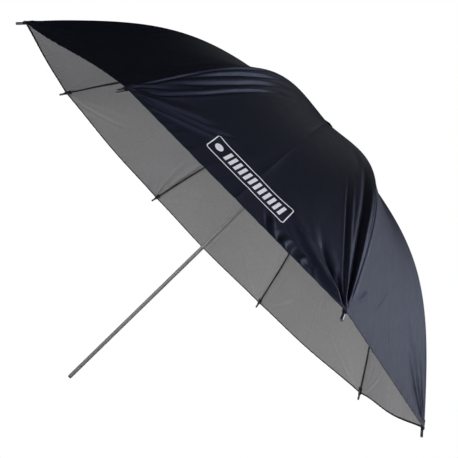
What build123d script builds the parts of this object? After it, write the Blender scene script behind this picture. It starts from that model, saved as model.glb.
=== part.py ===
from build123d import *
import math
import os

# Studio reflective umbrella, opened. Millimetres, +Z up along the shaft.
# The origin is the centre of the lower end face of the plug that closes the shaft.
# Eight ribs run out from a crown at the top; a stretcher joins each rib to the runner below.
# Flat outlines of radial parts are drawn as (radius, height).

os.makedirs("parts", exist_ok=True)

# ---------------------------------------------------------------- driving dimensions
rib_count = 8
first_rib_azimuth = -112.5        # the front gore faces -Y, between ribs 1 and 2
rib_step = 360.0 / rib_count
half_gore = rib_step / 2.0
rib_azimuths = [first_rib_azimuth + rib_step * k for k in range(rib_count)]

canopy_radius = 545.0             # shaft axis to a cloth corner
rim_height = 413.1                # height of the eight cloth corners
apex_rise = 336.9                 # apex above the corners
apex_z = rim_height + apex_rise
cloth_thick = 0.5
cloth_inner_radius = 7.0
seam_gap = 0.12                   # half of the gap between two half-gores

# profile of a seam, in (radius, height), as the five poles of one curve of degree four
seam_poles = [
    (0.0, apex_z),
    (205.9, rim_height + 276.0),
    (332.6, rim_height + 262.9),
    (408.4, rim_height + 177.3),
    (canopy_radius, rim_height),
]
# (radius, height) shift of each pole at a gore's crease
crease_sag = [(0.0, 0.0), (-7.8, -13.5), (-10.4, -18.1), (-7.8, -13.5), (0.0, 0.0)]

plug_head_height = 3.0
shaft_radius = 4.0
shaft_bore = 3.2
shaft_bottom = plug_head_height + 0.05
shaft_top = 745.0

cut_over = 1.0                    # how far a cutting outline runs past the body it cuts

# wires and the eyes threaded on them, the same at crown and runner
ring_radius = 9.0                 # shaft axis to the wire, at each rib
wire_radius = 0.6
wire_bend = 3.0
wire_groove_half = 0.68
wire_groove_depth = 0.75          # groove floor inside the wire's centre line
eye_hole = 0.70
eye_radius = 1.9
eye_thick = 1.8
slot_width = 2.2
slot_root = 5.8
slot_past_pivot = 2.3             # slot's closed end beyond the pivot

crown_pivot_z = 741.0
crown_radius = 12.0
crown_bottom = 730.5
crown_top = 745.6
crown_bore = shaft_radius + 0.05

cross_pin_radius = 1.0
cross_hole_radius = 1.02
crown_pin_z = crown_pivot_z - 5.5

rib_width = 2.6
rib_deep = 2.6
rib_channel = 1.5
rib_web = 0.7
rib_drop = 2.8                    # rib centre line below the middle of the cloth
rib_drop_tip = 3.4
drop_blend_from = 0.88            # station where the drop starts to grow
rib_start_fall = 8.0              # degrees below level at the crown pivot
rivet_radius = 0.8
rivet_hole = 0.82
fork_hole = 0.85
rivet_station = 0.40              # where the stretcher meets the rib, on the curve's 0..1

tip_radius = 2.4
tip_collar = 2.75
tip_before = 11.0                 # length of the tip inside the cloth corner
tip_beyond = 15.3                 # length of the tip past the cloth corner
tip_socket = 1.95

runner_bore = 4.06
runner_head_radius = 12.0
runner_sleeve_radius = 8.2

catch_azimuth = -90.0
catch_inner = 1.3                 # radii of the two faces of the catch strip
catch_outer = 2.1
catch_eye_radius = (catch_inner + catch_outer) / 2   # shaft axis to the catch pin


# ---------------------------------------------------------------- curves
def mixed(start, end, share):
    return tuple(a + (b - a) * share for a, b in zip(start, end))


def levels(poles, station):
    # repeated division of the pole polygon at the station, down to the point itself
    rows = [list(poles)]
    while len(rows[-1]) > 1:
        last = rows[-1]
        rows.append([mixed(start, end, station) for start, end in zip(last[:-1], last[1:])])
    return rows


def unit(start, end):
    size = math.hypot(end[0] - start[0], end[1] - start[1])
    return ((end[0] - start[0]) / size, (end[1] - start[1]) / size)


def curve_point(poles, station):
    return levels(poles, station)[-1][0]


def curve_direction(poles, station):
    return unit(*levels(poles, station)[-2])


def at_radius(poles, radius):
    # station where the curve reaches a radius, by bisection
    low, high = 0.0, 1.0
    for _ in range(60):
        middle = 0.5 * (low + high)
        if curve_point(poles, middle)[0] < radius:
            low = middle
        else:
            high = middle
    return 0.5 * (low + high)


def trimmed(poles, station):
    # poles of the piece of the curve from the station to 1
    return [row[-1] for row in reversed(levels(poles, station))]


def shifted(poles, amount):
    # pole polygon moved sideways, each leg parallel to itself; positive is away from the hollow
    legs = [unit(start, end) for start, end in zip(poles[:-1], poles[1:])]
    normals = [(-leg[1], leg[0]) for leg in legs]
    moved = []
    for i, pole in enumerate(poles):
        before = normals[max(0, i - 1)]
        after = normals[min(len(normals) - 1, i)]
        scale = amount / (1.0 + before[0] * after[0] + before[1] * after[1])
        moved.append((
            pole[0] + (before[0] + after[0]) * scale,
            pole[1] + (before[1] + after[1]) * scale,
        ))
    return moved


crease_scale = math.cos(math.radians(half_gore))
crease_poles = [
    (pole[0] * crease_scale + sag[0], pole[1] + sag[1])
    for pole, sag in zip(seam_poles, crease_sag)
]

# ---------------------------------------------------------------- rib centre line
rib_join = at_radius(seam_poles, 80.0)  # from here outwards the rib follows the cloth


def under_cloth(station):
    # point and direction of the line that hangs below the seam curve
    point = curve_point(seam_poles, station)
    direction = curve_direction(seam_poles, station)
    blend = max(0.0, (station - drop_blend_from) / (1.0 - drop_blend_from))
    drop = rib_drop + (rib_drop_tip - rib_drop) * blend * blend * (3 - 2 * blend)
    return (point[0] + direction[1] * drop, point[1] - direction[0] * drop), direction


def rib_line(station):
    # point and direction; inside rib_join a cubic Hermite curve leads from the crown pivot
    if station >= rib_join:
        return under_cloth(station)
    start = (ring_radius, crown_pivot_z)
    end, end_direction = under_cloth(rib_join)
    span = math.dist(start, end)
    fall = math.radians(rib_start_fall)
    start_direction = (math.cos(fall), -math.sin(fall))
    s = station / rib_join

    def weighted(start_weight, start_pull, end_weight, end_pull):
        return tuple(
            start_weight * start[i] + start_pull * span * start_direction[i]
            + end_weight * end[i] + end_pull * span * end_direction[i]
            for i in (0, 1)
        )

    point = weighted(2 * s**3 - 3 * s**2 + 1, s**3 - 2 * s**2 + s, -2 * s**3 + 3 * s**2, s**3 - s**2)
    slope = weighted(6 * s**2 - 6 * s, 3 * s**2 - 4 * s + 1, -6 * s**2 + 6 * s, 3 * s**2 - 2 * s)
    return point, unit((0.0, 0.0), slope)


def rib_side(station, amount):
    # point beside the centre line; positive is towards the cloth
    point, direction = rib_line(station)
    return (point[0] - direction[1] * amount, point[1] + direction[0] * amount)


def band(first, last, low, high, count):
    # closed outline that follows the rib between two stations, from low to high across it
    stations = [first + (last - first) * i / count for i in range(count + 1)]

    def arcs(side):
        for start, end in zip(stations[:-1], stations[1:]):
            middle = 0.5 * (start + end)
            ThreePointArc(rib_side(start, side), rib_side(middle, side), rib_side(end, side))

    arcs(high)
    Line(rib_side(last, high), rib_side(last, low))
    arcs(low)
    Line(rib_side(first, low), rib_side(first, high))


# ---------------------------------------------------------------- heights that follow
crown_pivot = (ring_radius, crown_pivot_z)
rivet_point = rib_line(rivet_station)[0]
link_length = math.dist(rivet_point, crown_pivot)
runner_pivot_z = 2 * rivet_point[1] - crown_pivot_z   # crown pivot mirrored at rivet height
runner_pivot = (ring_radius, runner_pivot_z)
runner_top = runner_pivot_z + 4.4
runner_bottom = runner_pivot_z - 40.0
stop_pin_z = runner_top + 2.0
catch_top = runner_bottom - 0.3
catch_pivot_z = catch_top - 48.0


# ---------------------------------------------------------------- shared helpers
def radial_plane(azimuth, sideways=0.0):
    # local x is the radius, local y is height; sideways moves it towards larger azimuth
    angle = math.radians(azimuth)
    return Plane(
        origin=(-math.sin(angle) * sideways, math.cos(angle) * sideways, 0.0),
        x_dir=(math.cos(angle), math.sin(angle), 0.0),
        z_dir=(math.sin(angle), -math.cos(angle), 0.0),
    )


def save(name, builder):
    builder.part.label = name
    export_step(builder.part, f"parts/{name}.step")


def wire_groove(body_radius, pivot_z):
    # four outline points of the groove round a hub, from its lower lip to its upper lip
    floor = ring_radius - wire_groove_depth
    low, high = pivot_z - wire_groove_half, pivot_z + wire_groove_half
    return [(body_radius, low), (floor, low), (floor, high), (body_radius, high)]


def slot_outline(body_radius, open_z, closed_z):
    outside = body_radius + 3.0
    Polyline(
        (slot_root, open_z), (slot_root, closed_z), (outside, closed_z), (outside, open_z),
        close=True,
    )


# ---------------------------------------------------------------- shaft
def make_shaft_tube():
    groove_top = catch_pivot_z - 8.0
    groove_floor = shaft_radius - 0.3
    end_chamfer = 0.35
    window_length, window_half_width = 19.0, 1.3
    catch_hole_radius = 0.57
    drill_half = 6.0
    with BuildPart() as tube:
        with BuildSketch(Plane.XY.offset(shaft_bottom)):
            Circle(shaft_radius)
            Circle(shaft_bore, mode=Mode.SUBTRACT)
        extrude(amount=shaft_top - shaft_bottom)
        rims = tube.edges().filter_by(GeomType.CIRCLE)
        chamfer(rims.filter_by(lambda e: abs(e.radius - shaft_radius) < 0.01), end_chamfer)
        # groove with sloping flanks, below the catch
        with BuildSketch(Plane.XZ):
            with BuildLine():
                Polyline(
                    (shaft_radius + cut_over, groove_top),
                    (shaft_radius, groove_top),
                    (groove_floor, groove_top - 0.5),
                    (groove_floor, groove_top - 1.3),
                    (shaft_radius, groove_top - 1.8),
                    (shaft_radius + cut_over, groove_top - 1.8),
                    close=True,
                )
            make_face()
        revolve(axis=Axis.Z, mode=Mode.SUBTRACT)
        # window for the catch
        with BuildSketch(radial_plane(catch_azimuth)):
            with Locations((shaft_radius, catch_top + 1.0 - window_length / 2)):
                Rectangle(6.0, window_length)
        extrude(amount=window_half_width, both=True, mode=Mode.SUBTRACT)
        # cross holes: catch pin, then stop pin and crown pin
        with BuildSketch(Plane.YZ):
            with Locations((-catch_eye_radius, catch_pivot_z)):
                Circle(catch_hole_radius)
        extrude(amount=drill_half, both=True, mode=Mode.SUBTRACT)
        with BuildSketch(Plane.YZ):
            with Locations((0.0, stop_pin_z), (0.0, crown_pin_z)):
                Circle(cross_hole_radius)
        extrude(amount=drill_half, both=True, mode=Mode.SUBTRACT)
    return tube


def make_shaft_end_plug():
    # a head as the shaft's foot, and a hollow neck up inside the bore
    neck_length = 12.0
    neck_hole_radius, neck_hole_depth = 1.6, 10.0
    with BuildPart() as plug:
        with BuildSketch(Plane.XY):
            Circle(shaft_radius - 0.3)
        extrude(amount=plug_head_height)
        fillet(plug.edges().sort_by(Axis.Z)[0], 1.2)
        with BuildSketch(Plane.XY.offset(plug_head_height)):
            Circle(shaft_bore - 0.05)
        extrude(amount=neck_length)
        chamfer(plug.edges().sort_by(Axis.Z)[-1], 0.5)
        with BuildSketch(Plane.XY.offset(plug_head_height + neck_length)):
            Circle(neck_hole_radius)
        extrude(amount=-neck_hole_depth, mode=Mode.SUBTRACT)
    return plug


# ---------------------------------------------------------------- crown, wires and pins
def make_crown():
    foot_radius, foot_rise = 7.5, 2.5
    top_bevel = 1.6
    with BuildPart() as crown:
        with BuildSketch(Plane.XZ):
            with BuildLine():
                Polyline(
                    (crown_bore, crown_bottom),
                    (foot_radius, crown_bottom),
                    (crown_radius, crown_bottom + foot_rise),
                    *wire_groove(crown_radius, crown_pivot_z),
                    (crown_radius, crown_top - top_bevel),
                    (crown_radius - top_bevel, crown_top),
                    (crown_bore, crown_top),
                    close=True,
                )
            make_face()
        revolve(axis=Axis.Z)
        # rib slots, open below
        for azimuth in rib_azimuths:
            with BuildSketch(radial_plane(azimuth)):
                with BuildLine():
                    slot_outline(
                        crown_radius, crown_bottom - cut_over, crown_pivot_z + slot_past_pivot
                    )
                make_face()
            extrude(amount=slot_width / 2, both=True, mode=Mode.SUBTRACT)
        with BuildSketch(Plane.YZ):
            with Locations((0.0, crown_pin_z)):
                Circle(cross_hole_radius)
        extrude(amount=20.0, both=True, mode=Mode.SUBTRACT)
    return crown


def make_wire_ring(height):
    # eight straight lengths, one through each eye, joined by rounded corners
    corner_radius = ring_radius / math.cos(math.radians(half_gore))
    corner_angles = [math.radians(azimuth + half_gore) for azimuth in rib_azimuths]
    with BuildPart() as ring:
        with BuildLine(Plane.XY.offset(height)) as path:
            corners = [
                (corner_radius * math.cos(angle), corner_radius * math.sin(angle))
                for angle in corner_angles
            ]
            Polyline(*corners, close=True)
            fillet(path.vertices(), wire_bend)
        loop = path.wires()[0]
        with BuildSketch(Plane(origin=loop @ 0, z_dir=loop % 0)):
            Circle(wire_radius)
        sweep(path=loop)
    return ring


def make_cross_pin(height, half_length):
    # pin through the shaft along X, bevelled at both ends
    with BuildPart() as pin:
        with BuildSketch(Plane.YZ):
            with Locations((0.0, height)):
                Circle(cross_pin_radius)
        extrude(amount=half_length, both=True)
        chamfer(pin.edges().filter_by(GeomType.CIRCLE), 0.3)
    return pin


# ---------------------------------------------------------------- top of the canopy
# both parts rest on a cone that continues the seam's slope at the apex
cone_fall = (apex_z - seam_poles[1][1]) / seam_poles[1][0]  # fall per millimetre of radius


def on_cone(radius, rise):
    # point on the cone whose tip stands at this rise above the canopy apex
    return (radius, apex_z + rise - cone_fall * radius)


def make_top_rosette():
    inner, outer = 3.3, 15.0
    low, high = 0.3, 0.9
    with BuildPart() as rosette:
        with BuildSketch(Plane.XZ):
            with BuildLine():
                Polyline(
                    on_cone(inner, low), on_cone(outer, low),
                    on_cone(outer, high), on_cone(inner, high),
                    close=True,
                )
            make_face()
        revolve(axis=Axis.Z)
    return rosette


def make_top_cap():
    # domed head on a stem that reaches down into the shaft
    stem_bottom, stem_radius = 738.0, 3.15
    stem_end_radius, stem_taper = 2.6, 1.0
    seat_rise = 1.0
    cap_radius, cap_edge_z, cap_rise = 6.4, 750.6, 2.6
    cap_top_z = cap_edge_z + cap_rise
    dome_radius = (cap_radius**2 + cap_rise**2) / (2 * cap_rise)
    dome_centre = cap_top_z - dome_radius
    dome_half = 0.5 * math.asin(cap_radius / dome_radius)
    with BuildPart() as cap:
        with BuildSketch(Plane.XZ):
            with BuildLine():
                Polyline(
                    (0.0, stem_bottom),
                    (stem_end_radius, stem_bottom),
                    (stem_radius, stem_bottom + stem_taper),
                    on_cone(stem_radius, seat_rise),
                    on_cone(cap_radius, seat_rise),
                    (cap_radius, cap_edge_z),
                )
                ThreePointArc(
                    (cap_radius, cap_edge_z),
                    (
                        dome_radius * math.sin(dome_half),
                        dome_centre + dome_radius * math.cos(dome_half),
                    ),
                    (0.0, cap_top_z),
                )
                Line((0.0, cap_top_z), (0.0, stem_bottom))
            make_face()
        revolve(axis=Axis.Z)
    return cap


# ---------------------------------------------------------------- runner
def make_runner():
    foot_radius = runner_sleeve_radius + 1.3
    groove_count, groove_pitch, groove_radius = 7, 3.0, 1.0
    with BuildPart() as runner:
        # flared foot, slightly waisted sleeve, slotted head
        with BuildSketch(Plane.XZ):
            with BuildLine():
                Polyline(
                    (runner_bore, runner_bottom),
                    (foot_radius - 1.0, runner_bottom),
                    (foot_radius, runner_bottom + 1.0),
                    (foot_radius, runner_bottom + 3.0),
                    (runner_sleeve_radius, runner_bottom + 4.5),
                    (runner_sleeve_radius - 0.5, runner_bottom + 18.0),
                    (runner_sleeve_radius, runner_pivot_z - 9.5),
                    (runner_head_radius, runner_pivot_z - 7.0),
                    *wire_groove(runner_head_radius, runner_pivot_z),
                    (runner_head_radius, runner_top - 1.0),
                    (runner_head_radius - 1.0, runner_top),
                    (runner_bore, runner_top),
                    close=True,
                )
            make_face()
        revolve(axis=Axis.Z)
        # stretcher slots, open above
        for azimuth in rib_azimuths:
            with BuildSketch(radial_plane(azimuth)):
                with BuildLine():
                    slot_outline(
                        runner_head_radius, runner_top + cut_over, runner_pivot_z - slot_past_pivot
                    )
                make_face()
            extrude(amount=slot_width / 2, both=True, mode=Mode.SUBTRACT)
        # finger grooves round the sleeve
        groove_centres = [
            (runner_sleeve_radius + 0.55, runner_bottom + 8.0 + groove_pitch * i)
            for i in range(groove_count)
        ]
        with BuildSketch(Plane.XZ):
            with Locations(*groove_centres):
                Circle(groove_radius)
        revolve(axis=Axis.Z, mode=Mode.SUBTRACT)
    return runner


# ---------------------------------------------------------------- catch
def make_catch_spring():
    # strip with an eye below and a hollow wedge nose that stands out under the runner
    nose_radius = 6.2
    nose_lip_z = catch_top - 1.6
    with BuildPart() as spring:
        with BuildSketch(radial_plane(catch_azimuth)):
            with BuildLine():
                Polyline(
                    (catch_inner, catch_pivot_z),
                    (catch_outer, catch_pivot_z),
                    (catch_outer, catch_top - 16.0),
                    (nose_radius, nose_lip_z),
                    (nose_radius, catch_top),
                    (catch_inner, catch_top),
                    close=True,
                )
            make_face()
            with BuildLine():
                Polyline(
                    (catch_outer, catch_top - 11.0),
                    (nose_radius - 1.3, nose_lip_z),
                    (catch_outer, nose_lip_z),
                    close=True,
                )
            make_face(mode=Mode.SUBTRACT)
            with Locations((catch_eye_radius, catch_pivot_z)):
                Circle(1.2)
                Circle(0.62, mode=Mode.SUBTRACT)
        extrude(amount=1.0, both=True)
    return spring


def make_catch_pin():
    with BuildPart() as pin:
        with BuildSketch(Plane.YZ):
            with Locations((-catch_eye_radius, catch_pivot_z)):
                Circle(0.55)
        extrude(amount=3.55, both=True)
    return pin


# ---------------------------------------------------------------- ribs and rivets
shank_to = rib_join * 0.24        # flat eye shank ends here, inside the full-width rib
wide_from = rib_join * 0.16
channel_from = rib_join * 0.30
channel_to = 0.975


def make_rib(azimuth):
    plane = radial_plane(azimuth)
    with BuildPart() as rib:
        with BuildSketch(plane):
            with BuildLine():
                band(0.0, shank_to, -rib_deep / 2, rib_deep / 2, 2)
            make_face()
            with Locations(crown_pivot):
                Circle(eye_radius)
        extrude(amount=eye_thick / 2, both=True)
        with BuildSketch(plane):
            with BuildLine():
                band(wide_from, 1.0, -rib_deep / 2, rib_deep / 2, 12)
            make_face()
        extrude(amount=rib_width / 2, both=True)
        # channel that opens away from the cloth
        with BuildSketch(plane):
            with BuildLine():
                band(channel_from, channel_to, -rib_deep / 2 - 0.6, rib_deep / 2 - rib_web, 12)
            make_face()
        extrude(amount=rib_channel / 2, both=True, mode=Mode.SUBTRACT)
        with BuildSketch(plane):
            with Locations(crown_pivot):
                Circle(eye_hole)
            with Locations(rivet_point):
                Circle(rivet_hole)
        extrude(amount=3.0, both=True, mode=Mode.SUBTRACT)
    return rib


def make_rivet(azimuth):
    plane = radial_plane(azimuth)
    shank_half = 2.35
    head_radius, head_thick, head_round = 1.4, 0.6, 0.45
    rivet_half = shank_half + head_thick

    def is_outer_end(edge):
        distance = abs((edge.arc_center - plane.origin).dot(plane.z_dir))
        return abs(distance - rivet_half) < 0.02

    with BuildPart() as rivet:
        with BuildSketch(plane):
            with Locations(rivet_point):
                Circle(rivet_radius)
        extrude(amount=shank_half, both=True)
        for side in (1, -1):
            with BuildSketch(plane.offset(side * shank_half)):
                with Locations(rivet_point):
                    Circle(head_radius)
            extrude(amount=head_thick * side)
        circles = rivet.edges().filter_by(GeomType.CIRCLE)
        head_rims = circles.filter_by(lambda e: abs(e.radius - head_radius) < 0.01)
        fillet(head_rims.filter_by(is_outer_end), head_round)
    return rivet


# ---------------------------------------------------------------- stretchers
# direction from the rivet to the runner pivot, in the radial plane
to_runner = (
    (ring_radius - rivet_point[0]) / link_length,
    (runner_pivot_z - rivet_point[1]) / link_length,
)
across = (-to_runner[1], to_runner[0])  # points down and slightly outwards


def on_link(along, side):
    return (
        rivet_point[0] + to_runner[0] * along + across[0] * side,
        rivet_point[1] + to_runner[1] * along + across[1] * side,
    )


def link_bar(start, end, half):
    Polyline(
        on_link(start, half), on_link(end, half), on_link(end, -half), on_link(start, -half),
        close=True,
    )


def make_stretcher(azimuth):
    # lengths along the stretcher are measured from the rivet
    plane = radial_plane(azimuth)
    fork_in, fork_out = rib_width / 2 + 0.08, 2.2
    fork_half = 1.5
    bar_half = 1.3
    channel_start, channel_end = 18.0, link_length - 22.0
    channel_floor, channel_past = 0.6, 2.0
    with BuildPart() as stretcher:
        # fork block and the gap that takes the rib
        with BuildSketch(plane):
            with BuildLine():
                link_bar(0.0, 15.0, fork_half)
            make_face()
            with Locations(rivet_point):
                Circle(fork_half)
        extrude(amount=fork_out, both=True)
        with BuildSketch(plane):
            with BuildLine():
                link_bar(-3.0, 9.0, 3.0)
            make_face()
        extrude(amount=fork_in, both=True, mode=Mode.SUBTRACT)
        # bar, then the flat shank with its eye
        with BuildSketch(plane):
            with BuildLine():
                link_bar(10.0, link_length - 15.0, bar_half)
            make_face()
        extrude(amount=bar_half, both=True)
        with BuildSketch(plane):
            with BuildLine():
                link_bar(link_length - 18.0, link_length, bar_half)
            make_face()
            with Locations(runner_pivot):
                Circle(eye_radius)
        extrude(amount=eye_thick / 2, both=True)
        # channel along the underside of the bar
        with BuildSketch(plane):
            with BuildLine():
                Polyline(
                    on_link(channel_start, channel_floor), on_link(channel_end, channel_floor),
                    on_link(channel_end, channel_past), on_link(channel_start, channel_past),
                    close=True,
                )
            make_face()
        extrude(amount=0.7, both=True, mode=Mode.SUBTRACT)
        with BuildSketch(plane):
            with Locations(runner_pivot):
                Circle(eye_hole)
            with Locations(rivet_point):
                Circle(fork_hole)
        extrude(amount=4.0, both=True, mode=Mode.SUBTRACT)
    return stretcher


# ---------------------------------------------------------------- rib tips
def make_tip(azimuth):
    # turned pin with a collar, a groove, a rounded nose and a blind socket for the rib
    angle = math.radians(azimuth)
    end_point, end_direction = rib_line(1.0)
    start_radius = end_point[0] - end_direction[0] * tip_before
    start_z = end_point[1] - end_direction[1] * tip_before
    origin = (start_radius * math.cos(angle), start_radius * math.sin(angle), start_z)
    pin_direction = (
        end_direction[0] * math.cos(angle), end_direction[0] * math.sin(angle), end_direction[1]
    )
    sideways = (-math.sin(angle), math.cos(angle), 0.0)
    base = Plane(origin=origin, x_dir=sideways, z_dir=pin_direction)
    # local y of this plane runs along the pin
    lengthwise = Plane(
        origin=origin, x_dir=sideways, z_dir=Vector(*sideways).cross(Vector(*pin_direction))
    )
    length = tip_before + tip_beyond
    groove_floor = tip_radius - 0.5
    nose_round = 1.8
    with BuildPart() as tip:
        with BuildSketch(lengthwise):
            with BuildLine():
                Polyline(
                    (0.0, 0.0),
                    (tip_collar - 0.4, 0.0),
                    (tip_collar, 0.4),
                    (tip_collar, 2.6),
                    (tip_radius, 3.4),
                    (tip_radius, tip_before + 1.4),
                    (groove_floor, tip_before + 1.9),
                    (groove_floor, tip_before + 3.1),
                    (tip_radius, tip_before + 3.6),
                    (tip_radius, length - nose_round),
                )
                RadiusArc(
                    (tip_radius, length - nose_round), (tip_radius - nose_round, length),
                    -nose_round,
                )
                Line((tip_radius - nose_round, length), (0.0, length))
                Line((0.0, length), (0.0, 0.0))
            make_face()
        revolve(axis=Axis(origin, pin_direction))
        with BuildSketch(base):
            Circle(tip_socket)
        extrude(amount=tip_before + 0.5, mode=Mode.SUBTRACT)
    return tip


# ---------------------------------------------------------------- half-gores
def cloth_faces(poles):
    # outer and inner face of the cloth along one edge, as two curves that run the same way
    trim = trimmed(poles, at_radius(poles, cloth_inner_radius))
    return shifted(trim, cloth_thick / 2), shifted(trim, -cloth_thick / 2)


seam_faces = cloth_faces(seam_poles)
crease_faces = cloth_faces(crease_poles)


def make_half_gore(rib_azimuth, side):
    # from the seam over a rib to the crease down the middle of the gore;
    # side is 1 towards larger azimuth, -1 towards smaller
    sections = (
        (radial_plane(rib_azimuth, side * seam_gap), seam_faces),
        (radial_plane(rib_azimuth + side * half_gore, -side * seam_gap), crease_faces),
    )
    with BuildPart() as cloth:
        for plane, (outer, inner) in sections:
            with BuildSketch(plane):
                with BuildLine():
                    Bezier(*outer)
                    Line(outer[-1], inner[-1])
                    Bezier(*inner[::-1])
                    Line(inner[0], outer[0])
                make_face()
        loft(ruled=True)
    return cloth


# ---------------------------------------------------------------- build and export
save("shaft_tube", make_shaft_tube())
save("shaft_end_plug", make_shaft_end_plug())
save("crown", make_crown())
save("crown_wire", make_wire_ring(crown_pivot_z))
save("crown_pin", make_cross_pin(crown_pin_z, half_length=11.6))
save("top_rosette", make_top_rosette())
save("top_cap", make_top_cap())
save("runner", make_runner())
save("runner_wire", make_wire_ring(runner_pivot_z))
save("runner_stop_pin", make_cross_pin(stop_pin_z, half_length=5.6))
save("catch_spring", make_catch_spring())
save("catch_pin", make_catch_pin())

for number, azimuth in enumerate(rib_azimuths, start=1):
    save(f"rib_{number}", make_rib(azimuth))
    save(f"rib_tip_{number}", make_tip(azimuth))
    save(f"stretcher_rivet_{number}", make_rivet(azimuth))
    save(f"stretcher_{number}", make_stretcher(azimuth))
    # gore n lies between rib n and rib n + 1, so each rib carries halves of two gores
    previous = (number - 2) % rib_count + 1
    save(f"gore_{number}_near_rib_{number}", make_half_gore(azimuth, 1))
    save(f"gore_{previous}_near_rib_{number}", make_half_gore(azimuth, -1))
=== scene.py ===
"""An open umbrella with eight gores, standing upright in metres with its shaft along +Z.

The apex of the canopy is on the Z axis and the hem hangs below it. Rib 1 points to azimuth
-112.5 degrees and the ribs count anticlockwise seen from above; gore k lies between rib k and
the next. The frame's parts are loaded, and the cloth is built here as one half-gore on each
side of each rib.
"""
import math

import bpy
import numpy as np
from mathutils import Matrix, Vector

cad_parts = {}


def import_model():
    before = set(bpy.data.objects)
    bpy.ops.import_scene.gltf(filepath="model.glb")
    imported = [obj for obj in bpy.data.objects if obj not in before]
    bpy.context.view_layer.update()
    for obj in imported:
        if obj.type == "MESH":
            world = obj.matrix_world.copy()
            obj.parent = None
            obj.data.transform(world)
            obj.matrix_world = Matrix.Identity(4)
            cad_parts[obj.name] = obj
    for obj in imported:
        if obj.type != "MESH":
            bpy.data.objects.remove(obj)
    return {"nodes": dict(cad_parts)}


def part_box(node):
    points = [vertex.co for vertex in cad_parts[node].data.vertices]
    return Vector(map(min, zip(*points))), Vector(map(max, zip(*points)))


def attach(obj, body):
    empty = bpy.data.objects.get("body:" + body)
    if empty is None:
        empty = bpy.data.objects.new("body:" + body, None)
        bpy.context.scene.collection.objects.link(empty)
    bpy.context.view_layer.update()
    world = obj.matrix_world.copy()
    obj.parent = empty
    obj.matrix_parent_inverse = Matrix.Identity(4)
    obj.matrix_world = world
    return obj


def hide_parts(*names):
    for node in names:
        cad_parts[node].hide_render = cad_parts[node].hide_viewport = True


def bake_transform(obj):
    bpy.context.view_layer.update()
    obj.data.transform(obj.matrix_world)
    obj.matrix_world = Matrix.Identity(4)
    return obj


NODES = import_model()["nodes"]
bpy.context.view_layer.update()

# ------------------------------------------------------------------ driving sizes
MM = 0.001
COUNT = 8
STEP = math.radians(360.0 / COUNT)
HALF = STEP / 2
FIRST = math.radians(-112.5)
AZIMUTHS = [FIRST + STEP * k for k in range(COUNT)]
UP = np.array([0, 0, 1.0])

# poles of the seam's profile, one Bezier curve from apex to hem: (radius, height)
SEAM = np.array([
    (0.0, 0.7500), (0.2059, 0.6891), (0.3326, 0.6760), (0.4084, 0.5904), (0.5450, 0.4131),
])
NOMINAL_REACH = 0.5452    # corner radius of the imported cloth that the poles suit
REACH_SLACK = 0.003
reach = max(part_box(name)[1].y for name in NODES if name.startswith("gore_")) / math.cos(HALF)
if abs(reach - NOMINAL_REACH) > REACH_SLACK:
    SEAM[:, 0] *= 1 + (reach - NOMINAL_REACH) / SEAM[-1, 0]
DEGREE = len(SEAM) - 1

SAG = 0.0209              # strength of the sag; its peak is three quarters of this
SAG_IN, SAG_DOWN = 0.5, 0.866   # the sag's direction, 60 degrees below level
INNER_RADIUS = 0.0068     # where the cloth stops round the shaft
CLOTH = 0.0005
HEM_WIDTH = 0.0036


# ------------------------------------------------------------------ profile and directions
def curve(t):
    """Radius and height of the seam at parameter t, 0 at the apex and 1 at the hem."""
    t = np.asarray(t, float)[..., None]
    return sum(math.comb(DEGREE, i) * t**i * (1 - t) ** (DEGREE - i) * SEAM[i]
               for i in range(DEGREE + 1))


def curve_dir(t):
    """Unit direction of the seam towards the hem."""
    t = np.asarray(t, float)[..., None]
    run = sum(math.comb(DEGREE - 1, i) * t**i * (1 - t) ** (DEGREE - 1 - i)
              * (SEAM[i + 1] - SEAM[i]) for i in range(DEGREE))
    return run / np.linalg.norm(run, axis=-1, keepdims=True)


# distance along the seam against the parameter
ARC_T = np.linspace(0, 1, 4001)
ARC_POINTS = curve(ARC_T)
ARC_S = np.concatenate([[0], np.cumsum(np.linalg.norm(np.diff(ARC_POINTS, axis=0), axis=1))])
LENGTH = float(ARC_S[-1])
S_START = float(np.interp(float(np.interp(INNER_RADIUS, ARC_POINTS[:, 0], ARC_T)), ARC_T, ARC_S))


def t_of_s(s):
    return np.interp(s, ARC_S, ARC_T)


def half_width(t):
    """Distance across a half-gore, from seam to crease."""
    return curve(t)[..., 0] * math.sin(HALF)


def smoothstep(x):
    x = np.clip(x, 0, 1)
    return x * x * (3 - 2 * x)


def radial(azimuth):
    return np.array([math.cos(azimuth), math.sin(azimuth), 0.0])


def tangential(azimuth):
    return np.array([-math.sin(azimuth), math.cos(azimuth), 0.0])


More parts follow.
